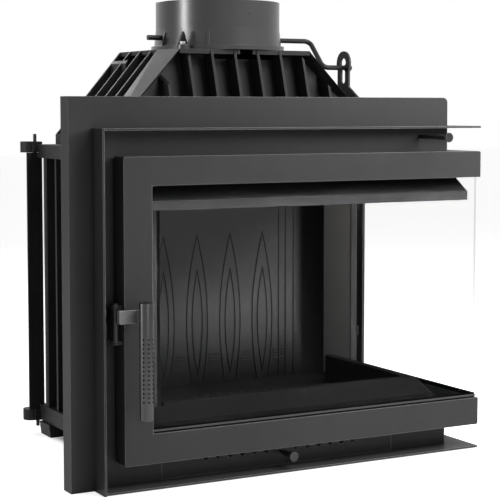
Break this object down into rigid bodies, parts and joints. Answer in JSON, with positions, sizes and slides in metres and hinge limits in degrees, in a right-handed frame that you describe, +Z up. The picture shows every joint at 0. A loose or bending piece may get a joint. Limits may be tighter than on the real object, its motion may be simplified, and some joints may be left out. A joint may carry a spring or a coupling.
{
  "type": "corner fireplace insert",
  "caption": "Cast fireplace insert with an L-shaped corner glass door, ribbed hood, round flue spigot, pull-rod damper and a leaf-relief back plate.",
  "frame": {"origin": "on the floor, under the middle of the whole insert's bounding box", "axes": "+X along the door front towards the glass corner, +Y to the back, +Z up"},
  "size_m": [0.6576, 0.505, 0.6898],
  "materials": {
    "cast_iron": "matt dark grey stove paint on cast iron",
    "painted_sheet": "satin dark grey stove paint on steel sheet",
    "black_steel": "black painted steel",
    "plain_steel": "plain zinc-grey steel",
    "handle_steel": "satin mid-grey steel",
    "grip_steel": "satin dark grey tube",
    "glass": "clear heat-resistant glass",
    "rope_seal": "woven black glass-fibre rope",
    "fire_board": "pressed mineral board"
  },
  "bodies": {
    "stove": {"front_panel": "painted_sheet", "side_panel": "painted_sheet", "left_cheek": "painted_sheet", "rear_cheek": "painted_sheet", "top_ledge": "painted_sheet", "bottom_ledge": "painted_sheet", "air_cover": "painted_sheet", "base_casting": "cast_iron", "feet": "cast_iron", "left_wall": "cast_iron", "back_wall": "cast_iron", "right_wall": "cast_iron", "lower_frame": "cast_iron", "upper_frame": "cast_iron", "hood": "cast_iron", "tie_rods": "plain_steel", "flue_collar": "cast_iron", "collar_bolts": "plain_steel", "back_lining": "cast_iron", "left_lining": "cast_iron", "right_lining": "cast_iron", "floor_plate": "cast_iron", "grate": "cast_iron", "ash_pan": "plain_steel", "log_guard": "cast_iron", "air_deflector": "painted_sheet", "lower_baffle": "fire_board", "upper_baffle": "plain_steel", "door_gasket": "rope_seal", "hinge_brackets": "painted_sheet", "hinge_pins": "plain_steel", "latch_keeper": "painted_sheet", "keeper_bolts": "plain_steel"},
    "door": {"door_frame": "painted_sheet", "front_glass": "glass", "side_glass": "glass", "glass_clips": "plain_steel", "clip_screws": "plain_steel", "latch_pin": "black_steel"},
    "handle": {"handle_arm": "handle_steel", "handle_grip": "grip_steel", "latch_hook": "black_steel"},
    "damper": {"damper_plate": "cast_iron", "damper_shaft": "black_steel", "crank_nut": "black_steel"},
    "damper_pull": {"damper_link": "painted_sheet", "damper_rod": "black_steel", "damper_knob": "black_steel"},
    "air_pull": {"air_shutter": "plain_steel", "air_rod": "black_steel", "air_knob": "black_steel"}
  },
  "joints": [
    {"name": "door_hinge", "type": "hinge", "parent": "stove", "child": "door", "pos_m": [0.32125, 0.1625, 0.248], "axis": [0, 0, 1], "range_deg": [0, 105]},
    {"name": "handle_turn", "type": "hinge", "parent": "door", "child": "handle", "pos_m": [-0.27165, -0.1935, 0.235], "axis": [0, 0, -1], "range_deg": [0, 25]},
    {"name": "damper_slide", "type": "slide", "parent": "stove", "child": "damper_pull", "axis": [0, 1, 0], "range_m": [0, 0.04791]},
    {"name": "damper_turn", "type": "hinge", "parent": "stove", "child": "damper", "pos_m": [0.035, 0.0955, 0.6333], "axis": [1, 0, 0], "range_deg": [0, 50]},
    {"name": "air_slide", "type": "slide", "parent": "stove", "child": "air_pull", "axis": [0, 1, 0], "range_m": [0, 0.01]}
  ],
  "couplings": [
    {"joint": "damper_turn", "follows": "damper_slide", "rad_per_m": 18.211}
  ]
}
